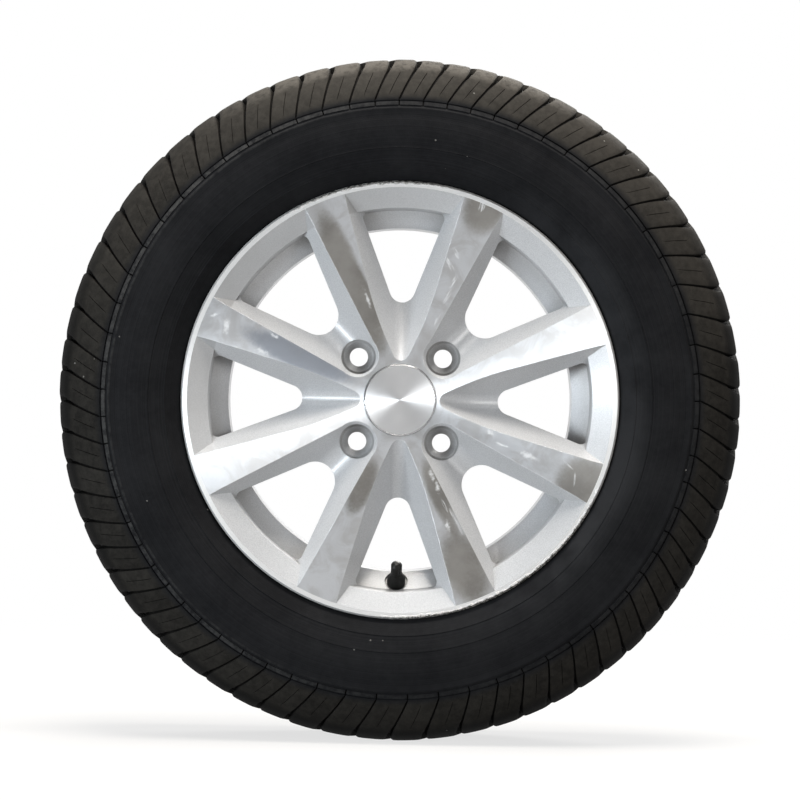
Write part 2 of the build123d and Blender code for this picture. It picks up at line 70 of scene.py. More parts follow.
main_groove_depth = 0.0075
crown_cut_depth, crown_cut_half_width = 0.0018, 0.0005
outer_rib_start = 0.0318
block_groove_depth, groove_foot_depth = 0.0062, 0.0016
block_groove_half_width, groove_foot_half_width = 0.0025, 0.0010
groove_mouth_share = 0.42
block_round, block_edge_width = 0.0011, 0.0018
block_wear = 0.0005
block_lean = radians(3.45)
first_groove = radians(11.85)
short_block, medium_block, long_block = 0.88, 1.0, 1.136
run_lengths = (long_block, medium_block, short_block, medium_block) * 3
run_counts = (5, 6, 6, 7, 6, 7, 5, 5, 5, 5, 5, 6)
sipe_half_width = 0.0003
sipe_depth = 0.0014
sipe_start, sipe_end = 0.48, 0.90
bar_top, bar_foot, ridge_radius = shoulder_edge[0] - np.array((0.0015, 0.0046, 0.0074))
bar_gap_half_width, plain_half_width = 0.0007, 0.0004
mould_line_heights = (0.027, 0.0135)
shaded_from, shaded_to = 0.0005, 0.0014
dark_rubber = (0.0085, 0.0088, 0.0100, 1)
grey_rubber = (0.0200, 0.0204, 0.0222, 1)
dark_block = (0.0085, 0.0081, 0.0076, 1)
scrubbed_block = (0.0400, 0.0370, 0.0330, 1)
road_dust_and_top_light = (0.075, 0.069, 0.061, 1)
top_highlight_pale = (0.150, 0.140, 0.126, 1)
block_end_shade_black = (0.004, 0.004, 0.004, 1)
rim_sheen_grey = (0.036, 0.037, 0.040, 1)
rubbed_grey = (0.075, 0.075, 0.074, 1)
stone_speck = (0.35, 0.34, 0.32, 1)
groove_shade_black = (0.002, 0.002, 0.002, 1)


def bowed_line(start, end, bow, share):
    """Points along a straight line that bows outwards by a parabola of this height."""
    chord = end - start
    outward = np.array((chord[1], -chord[0])) / np.hypot(*chord)
    return start + np.outer(share, chord) + np.outer(4 * bow * share * (1 - share), outward)


def sidewall_point(radius):
    """Distance outboard at a radius, on an arc through the shoulder, the widest place and the foot."""
    middle = (shoulder_edge[0] + sidewall_low[0]) / 2
    half = shoulder_edge[0] - middle
    rise = tyre_half_width - (shoulder_edge[1] + sidewall_low[1]) / 2
    arc_radius = (half**2 + rise**2) / (2 * rise)
    return tyre_half_width - arc_radius + np.sqrt(arc_radius**2 - (radius - middle) ** 2)


def half_section():
    """Rows of the tyre from the crown down the outboard side and back inside, and what each row carries.

    Columns: radius, distance outboard, raised height, depth and half width of the grooves, sipe depth, and
    the share of the grooves' lean. Lists of distances are millimetres times 0.001.
    """
    across = np.array((0, 3.2, 4, 14, 24, 24.8, 31.2, 32, 33, 38, 43)) * 0.001
    crown = np.stack((tyre_radius - crown_drop * (across / crown_edge[1]) ** 2, across), axis=1)
    to_groove = np.abs(across - main_groove_spacing * np.round(across / main_groove_spacing))
    crown_raise = np.where(to_groove < main_groove_half_width - 0.0004, -main_groove_depth, 0)
    outer_rib = np.clip((across - outer_rib_start) / 0.0002, 0, 1)
    crown_depth = crown_cut_depth + (block_groove_depth - crown_cut_depth) * outer_rib
    crown_width = crown_cut_half_width + (block_groove_half_width - crown_cut_half_width) * outer_rib

    share = np.array((0, 0.05, 0.11, 0.17, 0.23, 0.3, 0.38, 0.46, 0.54, 0.63, 0.72, 0.82, 0.91, 0.97))
    block = bowed_line(crown_edge, shoulder_edge, shoulder_bow, share)
    mouth = share / groove_mouth_share
    block_depth = groove_foot_depth + (block_groove_depth - groove_foot_depth) * np.exp(-(mouth**4))
    mouth_extra = block_groove_half_width - groove_foot_half_width
    block_width = groove_foot_half_width + mouth_extra * np.exp(-(mouth**2))
    block_sipe = sipe_depth * np.clip((share - sipe_start) / 0.06, 0, 1)
    block_sipe = block_sipe * np.clip((sipe_end - share) / 0.07, 0, 1)

    rib = shoulder_edge[0] - np.array((0, 0.4, 1.0, 1.5, 4.6, 5.0, 5.7, 6.2, 6.9, 7.9, 8.4)) * 0.001
    rib_raise = np.array((0, -1.1, -1.1, 0.6, 0.6, -0.3, -0.3, 0, 0.4, 0.4, 0)) * 0.001
    rib_depth = np.array((1.1, 1.1, 1.1, 1.6, 1.6, 0.3, 0, 0, 0, 0, 0)) * 0.001
    line_offsets = np.array((0.5, 0.2, -0.3, -0.6)) * 0.001
    line_raise = np.array((0, 0.45, 0.45, 0)) * 0.001
    upper_wall = shoulder_edge[0] - np.array((16, 26, 35)) * 0.001
    upper_line, lower_line = (flange_radius + height for height in mould_line_heights)
    middle_wall = upper_line - np.array((6,)) * 0.001
    wall = (upper_wall, upper_line + line_offsets, middle_wall, lower_line + line_offsets)
    wall_raise = (0 * upper_wall, line_raise, 0 * middle_wall, line_raise)
    side = np.concatenate((rib, *wall))
    side = np.stack((side, sidewall_point(side)), axis=1)

    foot = ((8.2, 3.0), (5.2, 0.4), (2.6, -1.9), (-2.6, -9.1), (-9.3, -12.1), (-12.9, -12.1))
    foot += ((-17.3, -16.6), (-18.7, -28.0), (-5.5, -28.0))
    inside = ((11.5, -2.5), (39, 4.5), (67, -2.0), (88.2, -28.5), (90, -75.5))
    hidden = np.array(foot + inside) * 0.001 + (flange_radius, lip_face)
    plain = np.zeros(len(side) - len(rib) + len(hidden))

    points = np.concatenate((crown, block, side, hidden))
    raised = np.concatenate((crown_raise, 0 * share, rib_raise, *wall_raise, np.zeros(len(hidden))))
    depth = np.concatenate((crown_depth, block_depth, rib_depth, plain))
    bar_width = np.full(len(rib), bar_gap_half_width)
    width = np.concatenate((crown_width, block_width, bar_width, plain + plain_half_width))
    sipe = np.concatenate((0 * across, block_sipe, 0 * rib, plain))
    lean = np.concatenate((across / crown_edge[1], np.cos(share * pi / 2), 0 * rib, plain))
    return np.column_stack((points, raised, depth, width, sipe, lean))


def tyre_surface():
    """The section carried round the axle, in columns that crowd at the grooves and sipes and lean with them.

    Each point is sunk along the section's outward normal by the groove or sipe that it lies in. Also gives
    each point's block tone, drawn at random, and how deep in a groove the point is, from 0 to 1.
    """
    outboard = half_section()
    inboard = outboard[-2:0:-1] * (1, -1, 1, 1, 1, 1, -1)
    rows = np.concatenate((outboard, inboard))
    radius, across, raised, depth, width, sipe, lean = rows.T
    along = np.stack((np.roll(radius, -1) - np.roll(radius, 1), np.roll(across, -1) - np.roll(across, 1)))
    along /= np.hypot(*along)
    outward = np.stack((along[1], -along[0]))

    length = np.repeat(run_lengths, run_counts)
    pitch = (length + np.roll(length, -1)) / 2
    pitch *= 2 * pi / pitch.sum()
    start = first_groove + np.concatenate(((0,), np.cumsum(pitch)[:-1]))
    chance = np.random.default_rng(7)
    tone = chance.uniform(0, 1, len(pitch))
    worn = chance.uniform(0, block_wear, len(pitch))

    half = (width / radius)[:, None]
    edge = half + (block_edge_width / radius)[:, None]
    cut = (sipe_half_width / radius)[:, None]
    span = pitch[None, :]
    columns = (0.6 * half + 0 * span, half + 0 * span, edge + 0 * span, 0.27 * span + 0 * half)
    columns += (0.5 * span - cut, 0.5 * span + 0 * half, 0.5 * span + cut, 0.73 * span + 0 * half)
    columns += (span - edge, span - half, span - 0.6 * half)
    angle = start[None, :, None] + np.stack(columns, axis=2) - block_lean * lean[:, None, None]

    cut_share = np.clip(depth / block_groove_depth, 0, 1)
    round_off = block_round * cut_share
    still = 0 * depth
    sink = (depth, round_off, 0.15 * round_off, still, still, sipe)
    sink += (still, still, 0.08 * round_off, 0.6 * round_off, depth)
    sink = np.stack(sink, axis=1)[:, None, :]
    # How deep each point lies in a groove, from 0 to 1; the grooves are darkened by it as painted shade.
    groove_shade = np.clip((sink - shaded_from) / (shaded_to - shaded_from), 0, 1)
    sink = sink + worn[None, :, None] * cut_share[:, None, None]
    height = raised[:, None, None] - sink
    main_floor = raised < -0.5 * main_groove_depth
    height[main_floor] = raised[main_floor][:, None, None]
    groove_shade[main_floor] = 1.0
    reach = radius[:, None, None] + outward[0][:, None, None] * height
    x = reach * np.cos(angle)
    z = reach * np.sin(angle)
    y = -(across[:, None, None] + outward[1][:, None, None] * height)
    points = np.stack((x, y, z), axis=-1).reshape(len(rows), -1, 3)
    shades = (np.broadcast_to(shade, angle.shape).reshape(-1) for shade in (tone[None, :, None], groove_shade))
    return points, *shades


def grid_faces(row_count, column_count, ring):
    """Corner numbers of the quads of a grid of points. In a ring the last row and column meet the first."""
    row = np.arange(row_count if ring else row_count - 1)[:, None]
    column = np.arange(column_count if ring else column_count - 1)[None, :]
    next_row = (row + 1) % row_count * column_count
    next_column = (column + 1) % column_count
    row = row * column_count
    corners = (row + column, row + next_column, next_row + next_column, next_row + column)
    return np.stack(corners, axis=-1).reshape(-1, 4)


def new_piece(name, points, faces, sharp_degrees):
    """A smooth-shaded mesh object at the origin, with its sharper edges kept crisp."""
    mesh = bpy.data.meshes.new(name)
    mesh.from_pydata(points.reshape(-1, 3).tolist(), [], faces.tolist())
    mesh.validate()
    mesh.shade_smooth()
    mesh.set_sharp_from_angle(angle=radians(sharp_degrees))
    piece = bpy.data.objects.new(name, mesh)
    bpy.context.scene.collection.objects.link(piece)
    return piece


tyre_points, block_tone, groove_depth = tyre_surface()
tyre = new_piece("tyre_rubber", tyre_points, grid_faces(*tyre_points.shape[:2], True), 38)
for name, shade in (("block_tone", block_tone), ("groove_depth", groove_depth)):
    tyre.data.attributes.new(name, "FLOAT", "POINT").data.foreach_set("value", shade.astype(np.float32))


class Value:
    """A number, vector or colour on a surface, from one node's output. Arithmetic on it adds Math nodes."""

    def __init__(self, finish, socket):
        self.finish = finish
        self.socket = socket

    def math(self, operation, other=0.0):
        """A Math node on this value and another."""
        return self.finish.add("ShaderNodeMath", {"operation": operation}, {0: self, 1: other})

    def __add__(self, other):
        return self.math("ADD", other)

    def __sub__(self, other):
        return self.math("SUBTRACT", other)

    def __rsub__(self, other):
        return self * -1.0 + other

    def __mul__(self, other):
        return self.math("MULTIPLY", other)

    def __truediv__(self, other):
        return self.math("DIVIDE", other)

    def __pow__(self, other):
        return self.math("POWER", other)

    def __gt__(self, other):
        return self.math("GREATER_THAN", other)

    def __lt__(self, other):
        return self.math("LESS_THAN", other)

    __radd__ = __add__
    __rmul__ = __mul__

    def rise(self, low, high):
        """0 below low, 1 above high, and a smooth rise between them. With low above high it falls."""
        sockets = {"Value": self, "From Min": low, "From Max": high, "To Min": 0.0, "To Max": 1.0}
        return self.finish.add("ShaderNodeMapRange", {"interpolation_type": "SMOOTHSTEP"}, sockets)


class Finish:
    """A material whose shaders are filled in from expressions."""

    def __init__(self, name):
        self.material = bpy.data.materials.new(name)
        self.material.use_nodes = True
        self.nodes = self.material.node_tree.nodes
        self.links = self.material.node_tree.links
        self.nodes.clear()
        self.place = self.add("ShaderNodeTexCoord", output="Object")
        self.x, self.y, self.z = (
            self.add("ShaderNodeSeparateXYZ", {}, {0: self.place}, axis) for axis in ("X", "Y", "Z")
        )
        self.outboard = self.y * -1.0
        self.radius = (self.x * self.x + self.z * self.z) ** 0.5

    def put(self, socket, value):
        """Link a value to a socket, or set the socket to a plain number or colour."""
        if isinstance(value, Value):
            self.links.new(value.socket, socket)
        else:
            socket.default_value = value

    def add(self, kind, settings=None, sockets=None, output=0):
        """One node: its settings first, then the values or links of its sockets. Gives one output."""
        node = self.nodes.new(kind)
        for name, value in (settings or {}).items():
            setattr(node, name, value)
        for name, value in (sockets or {}).items():
            self.put(node.inputs[name], value)
        return Value(self, node.outputs[output])

    def noise(self, scale, detail=3.0, roughness=0.55):
        """Cloudy noise, with this many cells to a metre."""
        sockets = {"Vector": self.place, "Scale": scale, "Detail": detail, "Roughness": roughness}
        return self.add("ShaderNodeTexNoise", {}, sockets)

    def mix(self, share, first, second):
        """Colour that goes from the first to the second."""
        return self.add("ShaderNodeMix", {"data_type": "RGBA"}, {0: share, 6: first, 7: second}, 2)

    def bump(self, height, distance, **sockets):
        """Normal of a surface raised by a height, which counts as this many metres at 1."""
        return self.add("ShaderNodeBump", {}, {"Height": height, "Distance": distance, **sockets})

    def surface(self, **sockets):
        """A Principled shader, whose sockets are named with underscores for spaces."""
        named = {name.replace("_", " "): value for name, value in sockets.items()}
        return self.add("ShaderNodeBsdfPrincipled", {}, named)

    def blend(self, share, first, second):
        """Shader that goes from the first to the second."""
        return self.add("ShaderNodeMixShader", {}, {0: share, 1: first, 2: second})

    def done(self, surface):
        """The material, with this shader on its surface."""
        output = self.nodes.new("ShaderNodeOutputMaterial")
        self.put(output.inputs["Surface"], surface)
        return self.material


def tyre_rubber():
    """Black rubber with fine rings from the mould, browner on the scrubbed blocks and pale on the bars.
    Light is painted onto the top of the tread, shade onto the lower block ends and into the grooves, and a
    sheen near the rim.
    """
    rubber = Finish("worn_tyre_rubber")
    tone = rubber.add("ShaderNodeAttribute", {"attribute_name": "block_tone"}, {}, "Fac")
    patches = rubber.noise(22.0, 4.0)
    scrapes = rubber.noise(160.0, 4.0, 0.7)
    grain = rubber.noise(1400.0, 2.0)
    rings = {"W": rubber.radius, "Scale": 800.0, "Detail": 3.0, "Roughness": 0.7}
    rings = rubber.add("ShaderNodeTexNoise", {"noise_dimensions": "1D"}, rings)
    blocks = rubber.radius.rise(shoulder_edge[0] - 0.001, shoulder_edge[0] + 0.006)
    uneven = patches * 0.45 + rings * 0.3 + scrapes * 0.25
    colour = rubber.mix(uneven.rise(0.3, 0.7), dark_rubber, grey_rubber)
    uneven = tone * 0.25 + scrapes.rise(0.3, 0.7) * 0.4 + grain.rise(0.25, 0.75) * 0.2 + patches * 0.15
    scrubbed_lit_and_shaded = rubber.mix(uneven, dark_block, scrubbed_block)
    # Dust on the blocks, paler towards the top: partly real road dust, partly painted light from the lamp
    # above.
    dust_and_top_light = (rubber.z + rubber.x * 0.22).rise(0.02, 0.30) * (0.2 + scrapes * 0.8)
    scrubbed_lit_and_shaded = rubber.mix(dust_and_top_light * 0.5, scrubbed_lit_and_shaded, road_dust_and_top_light)
    block_ends = rubber.radius.rise(tyre_radius - 0.014, tyre_radius - 0.007)
    # A painted highlight of the overhead lamp on the block ends at the top of the outboard shoulder.
    top_highlight = block_ends * rubber.z.rise(0.22, 0.28) * rubber.outboard.rise(0.030, 0.050)
    scrubbed_lit_and_shaded = rubber.mix(top_highlight * scrapes.rise(0.2, 0.6) * 0.6, scrubbed_lit_and_shaded, top_highlight_pale)
    # Painted shade: the block ends below the top of the tyre are darkened almost to black.
    shaded_block_ends = block_ends * rubber.z.rise(0.24, 0.0)
    scrubbed_lit_and_shaded = rubber.mix(shaded_block_ends * 0.9, scrubbed_lit_and_shaded, block_end_shade_black)
    # A painted sheen: the window's cool reflection on the smooth rubber near the rim, on the right-hand side
    # only.
    rim_sheen = rubber.radius.rise(flange_radius + 0.030, flange_radius + 0.012) * rubber.x.rise(0.02, 0.17)
    colour = rubber.mix(rim_sheen * patches.rise(0.25, 0.65) * 0.6, colour, rim_sheen_grey)
    colour = rubber.mix(blocks, colour, scrubbed_lit_and_shaded)
    bars = rubber.radius.rise(bar_foot - 0.0004, bar_foot + 0.0004)
    bars = bars * rubber.radius.rise(bar_top + 0.0004, bar_top - 0.0004)
    ridge = (rubber.radius - ridge_radius).math("ABSOLUTE").rise(0.0013, 0.0005)
    left = rubber.x.rise(0.05, -0.20)
    rubbed = (bars * (0.25 + left * 0.75) + ridge * left * 0.45) * scrapes.rise(0.3, 0.7)
    colour = rubber.mix(rubbed * 0.75, colour, rubbed_grey)
    specks = rubber.add("ShaderNodeTexVoronoi", {}, {"Vector": rubber.place, "Scale": 75.0}, "Distance")
    specks = (specks < 0.055) * (rubber.noise(16.0, 1.0) > 0.6)
    colour = rubber.mix(specks * 0.5, colour, stone_speck)
    # Painted shade: the groove floors are darkened nearly to black.
    groove_shade = rubber.add("ShaderNodeAttribute", {"attribute_name": "groove_depth"}, {}, "Fac")
    colour = rubber.mix(groove_shade * 0.9, colour, groove_shade_black)
    rubber_surface = rubber.surface(
        Base_Color=colour,
        Roughness=0.56 + patches * 0.2,
        Specular_IOR_Level=0.04,
        Normal=rubber.bump(grain + scrapes + rings, 0.00016, Strength=0.7),
    )
    return rubber.done(rubber_surface)


tyre.data.materials.append(tyre_rubber())
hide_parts("tyre")
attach(tyre, "wheel")


# Alloy wheel: one aluminium casting, painted silver all over. A lathe then cuts the spoke fronts and the lip
# bare, which leaves fine rings that stretch every reflection along the radius. Kerbs have nicked the lip.
cap_face_proud = 0.0018
hub_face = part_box("centre_cap_face")[0].y * -1.0 - cap_face_proud
hub_face_radius = 0.0315
lip_band, spoke_end_length = 0.0053, 0.0101
lip_inner_radius = flange_radius - lip_band
turned_face_radius = lip_inner_radius - spoke_end_length
turned_slope = (lip_face - hub_face) / (turned_face_radius - hub_face_radius)
lathe_tolerance = 0.0006
lip_edge_depth = 0.0026
dish_radius = 0.1605
dish_dust_and_shade_direction = radians(140)
barrel_start, barrel_radius = 0.147, 0.158
bolt_offset = 0.0354
bolt_seat_radius, bolt_seat_fade = 0.0150, 0.0015
ring_leans = (-0.30, -0.10, 0.10, 0.30)
dark_flake = (0.50, 0.508, 0.525, 1)
bright_flake = (0.76, 0.768, 0.785, 1)
grime_and_shade_brown = (0.13, 0.119, 0.104, 1)
dull_metal = (0.59, 0.595, 0.605, 1)
bright_metal = (0.72, 0.74, 0.77, 1)
dark_dust_and_shade = (0.22, 0.205, 0.182, 1)
pale_dust_and_shade = (0.34, 0.322, 0.295, 1)
cool_reflection_tint = (0.31, 0.335, 0.385, 1)
lip_metal = (0.92, 0.92, 0.92, 1)
scuffed_metal = (0.86, 0.87, 0.89, 1)
torn_shadow = (0.10, 0.095, 0.088, 1)
torn_metal = (0.72, 0.71, 0.69, 1)
# Marks on the turned spokes: angle in degrees, radius, half length, half width, direction in degrees
scratched_places = (
    (68.4, 0.1765, 0.0070, 0.0040, 75),
    (70.3, 0.1310, 0.0060, 0.0018, 118),
    (70.8, 0.1200, 0.0075, 0.0022, 118),
    (66.9, 0.1080, 0.0080, 0.0018, 60),
    (66.5, 0.0950, 0.0080, 0.0016, 60),
    (66.3, 0.0740, 0.0070, 0.0012, 65),
    (-19.9, 0.1500, 0.0070, 0.0008, -42),
    (-23.2, 0.1595, 0.0072, 0.0008, -94),
    (-64.1, 0.1060, 0.0080, 0.0012, -60),
    (-65.9, 0.0955, 0.0070, 0.0012, -62),
    (-63.9, 0.1170, 0.0080, 0.0010, -62),
)
rubbed_places = (
    (156.5, 0.1697, 0.0045, 0.0018, 20),
    (157.9, 0.1570, 0.0080, 0.0030, 85),
    (164.0, 0.1460, 0.0070, 0.0014, 10),
    (161.8, 0.1226, 0.0080, 0.0024, -20),
    (154.2, 0.1163, 0.0060, 0.0016, 150),
    (-66.1, 0.0680, 0.0065, 0.0024, -70),
    (-65.5, 0.0790, 0.0070, 0.0026, -75),
    (-68.1, 0.1120, 0.0060, 0.0024, -80),
    (-18.6, 0.0800, 0.0050, 0.0026, -30),
    (-22.6, 0.0920, 0.0075, 0.0014, -22),
    (-22.3, 0.1170, 0.0090, 0.0034, -25),
    (108.9, 0.0870, 0.0090, 0.0016, 110),
)
# Places where the turned spokes are darkened, by brake dust and by painted dark reflection
dust_and_dark_reflection_places = (
    (67.5, 0.1750, 0.0300, 0.0220, 67),
    (157.5, 0.0920, 0.0640, 0.0140, 157),
    (114.0, 0.1250, 0.0600, 0.0150, 114),
    (112.5, 0.0780, 0.0480, 0.0160, 112),
    (-67.5, 0.1500, 0.0420, 0.0230, -67),
    (-66.5, 0.0850, 0.0400, 0.0100, -66),
    (-23.5, 0.1680, 0.0300, 0.0300, -23),
    (247.5, 0.0780, 0.0320, 0.0130, 248),
)
# Stretches of the lip that kerbs have scraped, as first and last degree, and the degrees of their fading
kerbed_stretches = ((-100, -18), (72, 128))
kerbed_fade = 15


def welded(node):
    """Points and triangles of a CAD node, with the points that coincide joined into one."""
    mesh = frame["nodes"][node].data
    points = np.empty(3 * len(mesh.vertices), np.float32)
    mesh.vertices.foreach_get("co", points)
    corners = np.empty(len(mesh.loops), np.int32)
    mesh.loops.foreach_get("vertex_index", corners)
    points = points.reshape(-1, 3)
    _, first, joined = np.unique(np.round(points, 6), axis=0, return_index=True, return_inverse=True)
    faces = joined.reshape(-1)[corners].reshape(-1, 3)
    whole = (faces[:, 0] != faces[:, 1]) & (faces[:, 1] != faces[:, 2]) & (faces[:, 2] != faces[:, 0])
    return points[first], faces[whole]


def rounded_edges(finish, radius):
    """Normal that turns smoothly over every edge, as if it were rounded."""
    return finish.add("ShaderNodeBevel", {"samples": 4}, {"Radius": radius}, "Normal")


def turned_surface(finish, normal, **sockets):
    """Gloss of a turned face, shared by normals that lean in and out along the radius, as its rings do."""
    whole = None
    for count, lean in enumerate(ring_leans):
        push = {"X": finish.x / finish.radius * lean, "Z": finish.z / finish.radius * lean}
        push = finish.add("ShaderNodeCombineXYZ", {}, push)
        leaning = finish.add("ShaderNodeVectorMath", {"operation": "ADD"}, {0: normal, 1: push})
        leaning = finish.add("ShaderNodeVectorMath", {"operation": "NORMALIZE"}, {0: leaning})
        gloss = finish.surface(Normal=leaning, **sockets)
        whole = finish.blend(1 / (count + 1), whole, gloss) if whole else gloss
    return whole


def oval(finish, degrees, radius, length, width, direction):
    """How far a point lies along and across an oval place, each counted as 1 at the oval's edge."""
    offset_x = finish.x - radius * cos(radians(degrees))
    offset_z = finish.z - radius * sin(radians(degrees))
    turn_cos, turn_sin = cos(radians(direction)), sin(radians(direction))
    along = (offset_x * turn_cos + offset_z * turn_sin) / length
    across = (offset_z * turn_cos - offset_x * turn_sin) / width
    return along, across, along * along + across * across


def scratches(finish, place):
    """A bundle of fine parallel scratches: noise drawn out along the oval, faded towards its edge."""
    along, across, spread = oval(finish, *place)
    drawn_out = {"X": along * 0.8 + place[1] * 1000, "Y": across * 3.0}
    drawn_out = finish.add("ShaderNodeCombineXYZ", {}, drawn_out)
    streaks = finish.add("ShaderNodeTexNoise", {}, {"Vector": drawn_out, "Scale": 1.0, "Detail": 2.0})
    return streaks.rise(0.44, 0.60) * spread.rise(1.0, 0.4)


def rubbed_place(finish, ragged, place):
    """A pale rubbed place: an oval whose edge the noise breaks up."""
    return (oval(finish, *place)[2] ** 0.5 + ragged * 2.4).rise(2.2, 1.2)


def dust_and_dark_reflection_place(finish, place):
    """A place darkened by brake dust and by a painted dark reflection: an oval that fades out from its
    middle.
    """
    return oval(finish, *place)[2].rise(1.1, 0.1)


def kerb_rash(finish):
    """Chips and scrapes at the outer edge of the lip, along the stretches that kerbs have touched."""
    angle = finish.z.math("ARCTAN2", finish.x)
    chips = finish.noise(210.0, 4.0, 0.7)
    touched = 0.0
    for first, last in kerbed_stretches:
        after_first = angle.rise(radians(first), radians(first + kerbed_fade))
        before_last = angle.rise(radians(last), radians(last - kerbed_fade))
        touched = after_first * before_last + touched
    near_edge = (finish.radius + chips * 0.006).rise(flange_radius - 0.0005, flange_radius + 0.0012)
    return touched * near_edge * (finish.outboard > lip_face - lip_edge_depth)


def wheel_finish():
    """Silver paint, cut to bare metal where the surface faces the front and lies on the lathe's line. Shade
    is painted into corners, into the barrel and onto one side of the dish, and dark and cool reflections
    onto some turned spokes.
    """
    alloy = Finish("silver_paint_and_turned_metal")
    lathe_line = (hub_face + (alloy.radius - hub_face_radius) * turned_slope).math("MINIMUM", lip_face)
    facing = alloy.add("ShaderNodeNewGeometry", {}, {}, "True Normal")
    facing_back = alloy.add("ShaderNodeSeparateXYZ", {}, {0: facing}, "Y")
    front = facing_back < -0.97
    lip = (alloy.radius > lip_inner_radius) * (alloy.outboard > lip_face - lip_edge_depth)
    turned = (front * (alloy.outboard > lathe_line - lathe_tolerance)).math("MAXIMUM", lip)
    rounded = rounded_edges(alloy, 0.0007)
    cloud = alloy.noise(30.0, 4.0)

    flake = alloy.noise(1300.0, 2.0, 0.7)
    sparkle = flake.rise(0.25, 0.75) * 0.7 + cloud * 0.3
    paint = alloy.mix(sparkle, dark_flake, bright_flake)
    # Painted shade: ambient occlusion darkens corners and creases towards brown, along with grime.
    corner = alloy.add("ShaderNodeAmbientOcclusion", {"samples": 4}, {"Distance": 0.020}, "AO")
    grime_and_shade = corner.rise(0.70, 0.30)
    # The barrel, deep behind the spokes, is darkened: painted shade together with grime.
    behind = alloy.outboard.rise(lip_face - 0.012, lip_face - 0.022)
    behind = behind * alloy.radius.rise(barrel_start, barrel_radius)
    # Painted shade with some dust: the dish is darkened on its upper-left side, where the lamps light it
    # least.
    shaded_dusty_side = ((alloy.x * cos(dish_dust_and_shade_direction) + alloy.z * sin(dish_dust_and_shade_direction)) / alloy.radius).rise(0.1, 0.95)
    dish = alloy.radius.rise(dish_radius - 0.001, dish_radius + 0.001)
    bolt_x = alloy.x.math("ABSOLUTE") - bolt_offset
    bolt_z = alloy.z.math("ABSOLUTE") - bolt_offset
    to_bolt = (bolt_x * bolt_x + bolt_z * bolt_z) ** 0.5
    bolt_seats = to_bolt.rise(bolt_seat_radius, bolt_seat_radius - bolt_seat_fade)
    settled_dust_and_shade = behind * 0.3 + dish * shaded_dusty_side * (0.2 + flake * 0.5) + bolt_seats * 0.35
    settled_dust_and_shade = settled_dust_and_shade + facing_back.rise(0.3, 0.9) * (cloud * 0.7)
    grime_and_shade = (grime_and_shade + settled_dust_and_shade).math("MINIMUM", 1.0) * (0.2 + cloud)
    paint_surface = alloy.surface(
        Base_Color=alloy.mix(grime_and_shade * 0.85, paint, grime_and_shade_brown),
        Metallic=0.12,
        Roughness=0.34 + cloud * 0.06,
        Coat_Weight=0.25,
        Coat_Roughness=0.12,
        Normal=alloy.bump(flake, 0.00006, Normal=rounded),
    )

    ragged = alloy.noise(420.0, 4.0, 0.65)
    rubbed = sum(rubbed_place(alloy, ragged, place) for place in rubbed_places)
    scuffs = (sum(scratches(alloy, place) for place in scratched_places) + rubbed).math("MINIMUM", 1.0)
    dust_and_dark_reflection = sum(dust_and_dark_reflection_place(alloy, place) for place in dust_and_dark_reflection_places).math("MINIMUM", 1.0)
    rash = kerb_rash(alloy)
    polish = {"Vector": alloy.place, "Scale": 42.0, "Detail": 5.0, "Roughness": 0.6, "Distortion": 0.9}
    polish = alloy.add("ShaderNodeTexNoise", {}, polish)
    metal = alloy.mix(polish.rise(0.35, 0.62), dull_metal, bright_metal)
    # Film on the turned spokes: brake dust in random patches, and painted dark reflections in the listed
    # places.
    film_and_dark_reflection = (dust_and_dark_reflection * 1.2 + polish * 1.2 + ragged * 0.5).rise(1.0, 2.1)
    dust = alloy.mix(cloud.rise(0.3, 0.7), dark_dust_and_shade, pale_dust_and_shade)
    # Painted reflection: the film on the upper-left spokes is tinted with the cool blue of the window.
    cool_reflection_side = ((alloy.x * -1.0 - alloy.z * 1.2) / alloy.radius).rise(0.0, 0.3)
    cool_reflection_side = cool_reflection_side * alloy.z.rise(-0.005, 0.005)
    dust = alloy.mix(cool_reflection_side, dust, cool_reflection_tint)
    metal = alloy.mix(film_and_dark_reflection * 0.85, metal, dust)
    metal = alloy.mix(lip, metal, lip_metal)
    metal = alloy.mix(scuffs * 0.75, metal, scuffed_metal)
    torn = alloy.mix(ragged.rise(0.42, 0.58), torn_shadow, torn_metal)
    metal = alloy.mix(rash, metal, torn)
    worn = (scuffs + rash).math("MINIMUM", 1.0)
    bare = turned_surface(
        alloy,
        alloy.bump(cloud * 0.4 + ragged * rash, 0.001, Normal=rounded),
        Base_Color=metal,
        Metallic=1.0 - worn.math("MAXIMUM", lip) * 0.6,
        Roughness=0.27 + cloud * 0.06 + worn * 0.2,
    )
    return alloy.done(alloy.blend(turned, paint_surface, bare))


wheel = new_piece("wheel_casting", *welded("alloy_wheel"), 28)
wheel.data.materials.append(wheel_finish())
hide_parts("alloy_wheel")
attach(wheel, "wheel")


# Centre cap: a moulded plastic cup with a bright plated edge, snapped into the hub. A thin aluminium disc,
# turned like the spokes and left bare, is glued into its face.
def turned_disc():
    """Bare aluminium with fine rings from the lathe."""
    disc = Finish("turned_disc")
    cloud = disc.noise(60.0, 3.0)
    metal = disc.mix(cloud, (0.70, 0.705, 0.72, 1), (0.80, 0.805, 0.815, 1))
    normal = rounded_edges(disc, 0.0003)
    surface = turned_surface(disc, normal, Base_Color=metal, Metallic=1.0, Roughness=0.28 + cloud * 0.04)
    return disc.done(surface)


def plated_plastic():
    """Bright plating over moulded plastic."""
    plating = Finish("plated_plastic")
    cloud = plating.noise(80.0, 3.0)
    metal = plating.mix(cloud, (0.62, 0.62, 0.63, 1), (0.72, 0.72, 0.73, 1))
    normal = rounded_edges(plating, 0.0003)
    surface = plating.surface(Base_Color=metal, Metallic=0.9, Roughness=0.16 + cloud * 0.08, Normal=normal)
    return plating.done(surface)


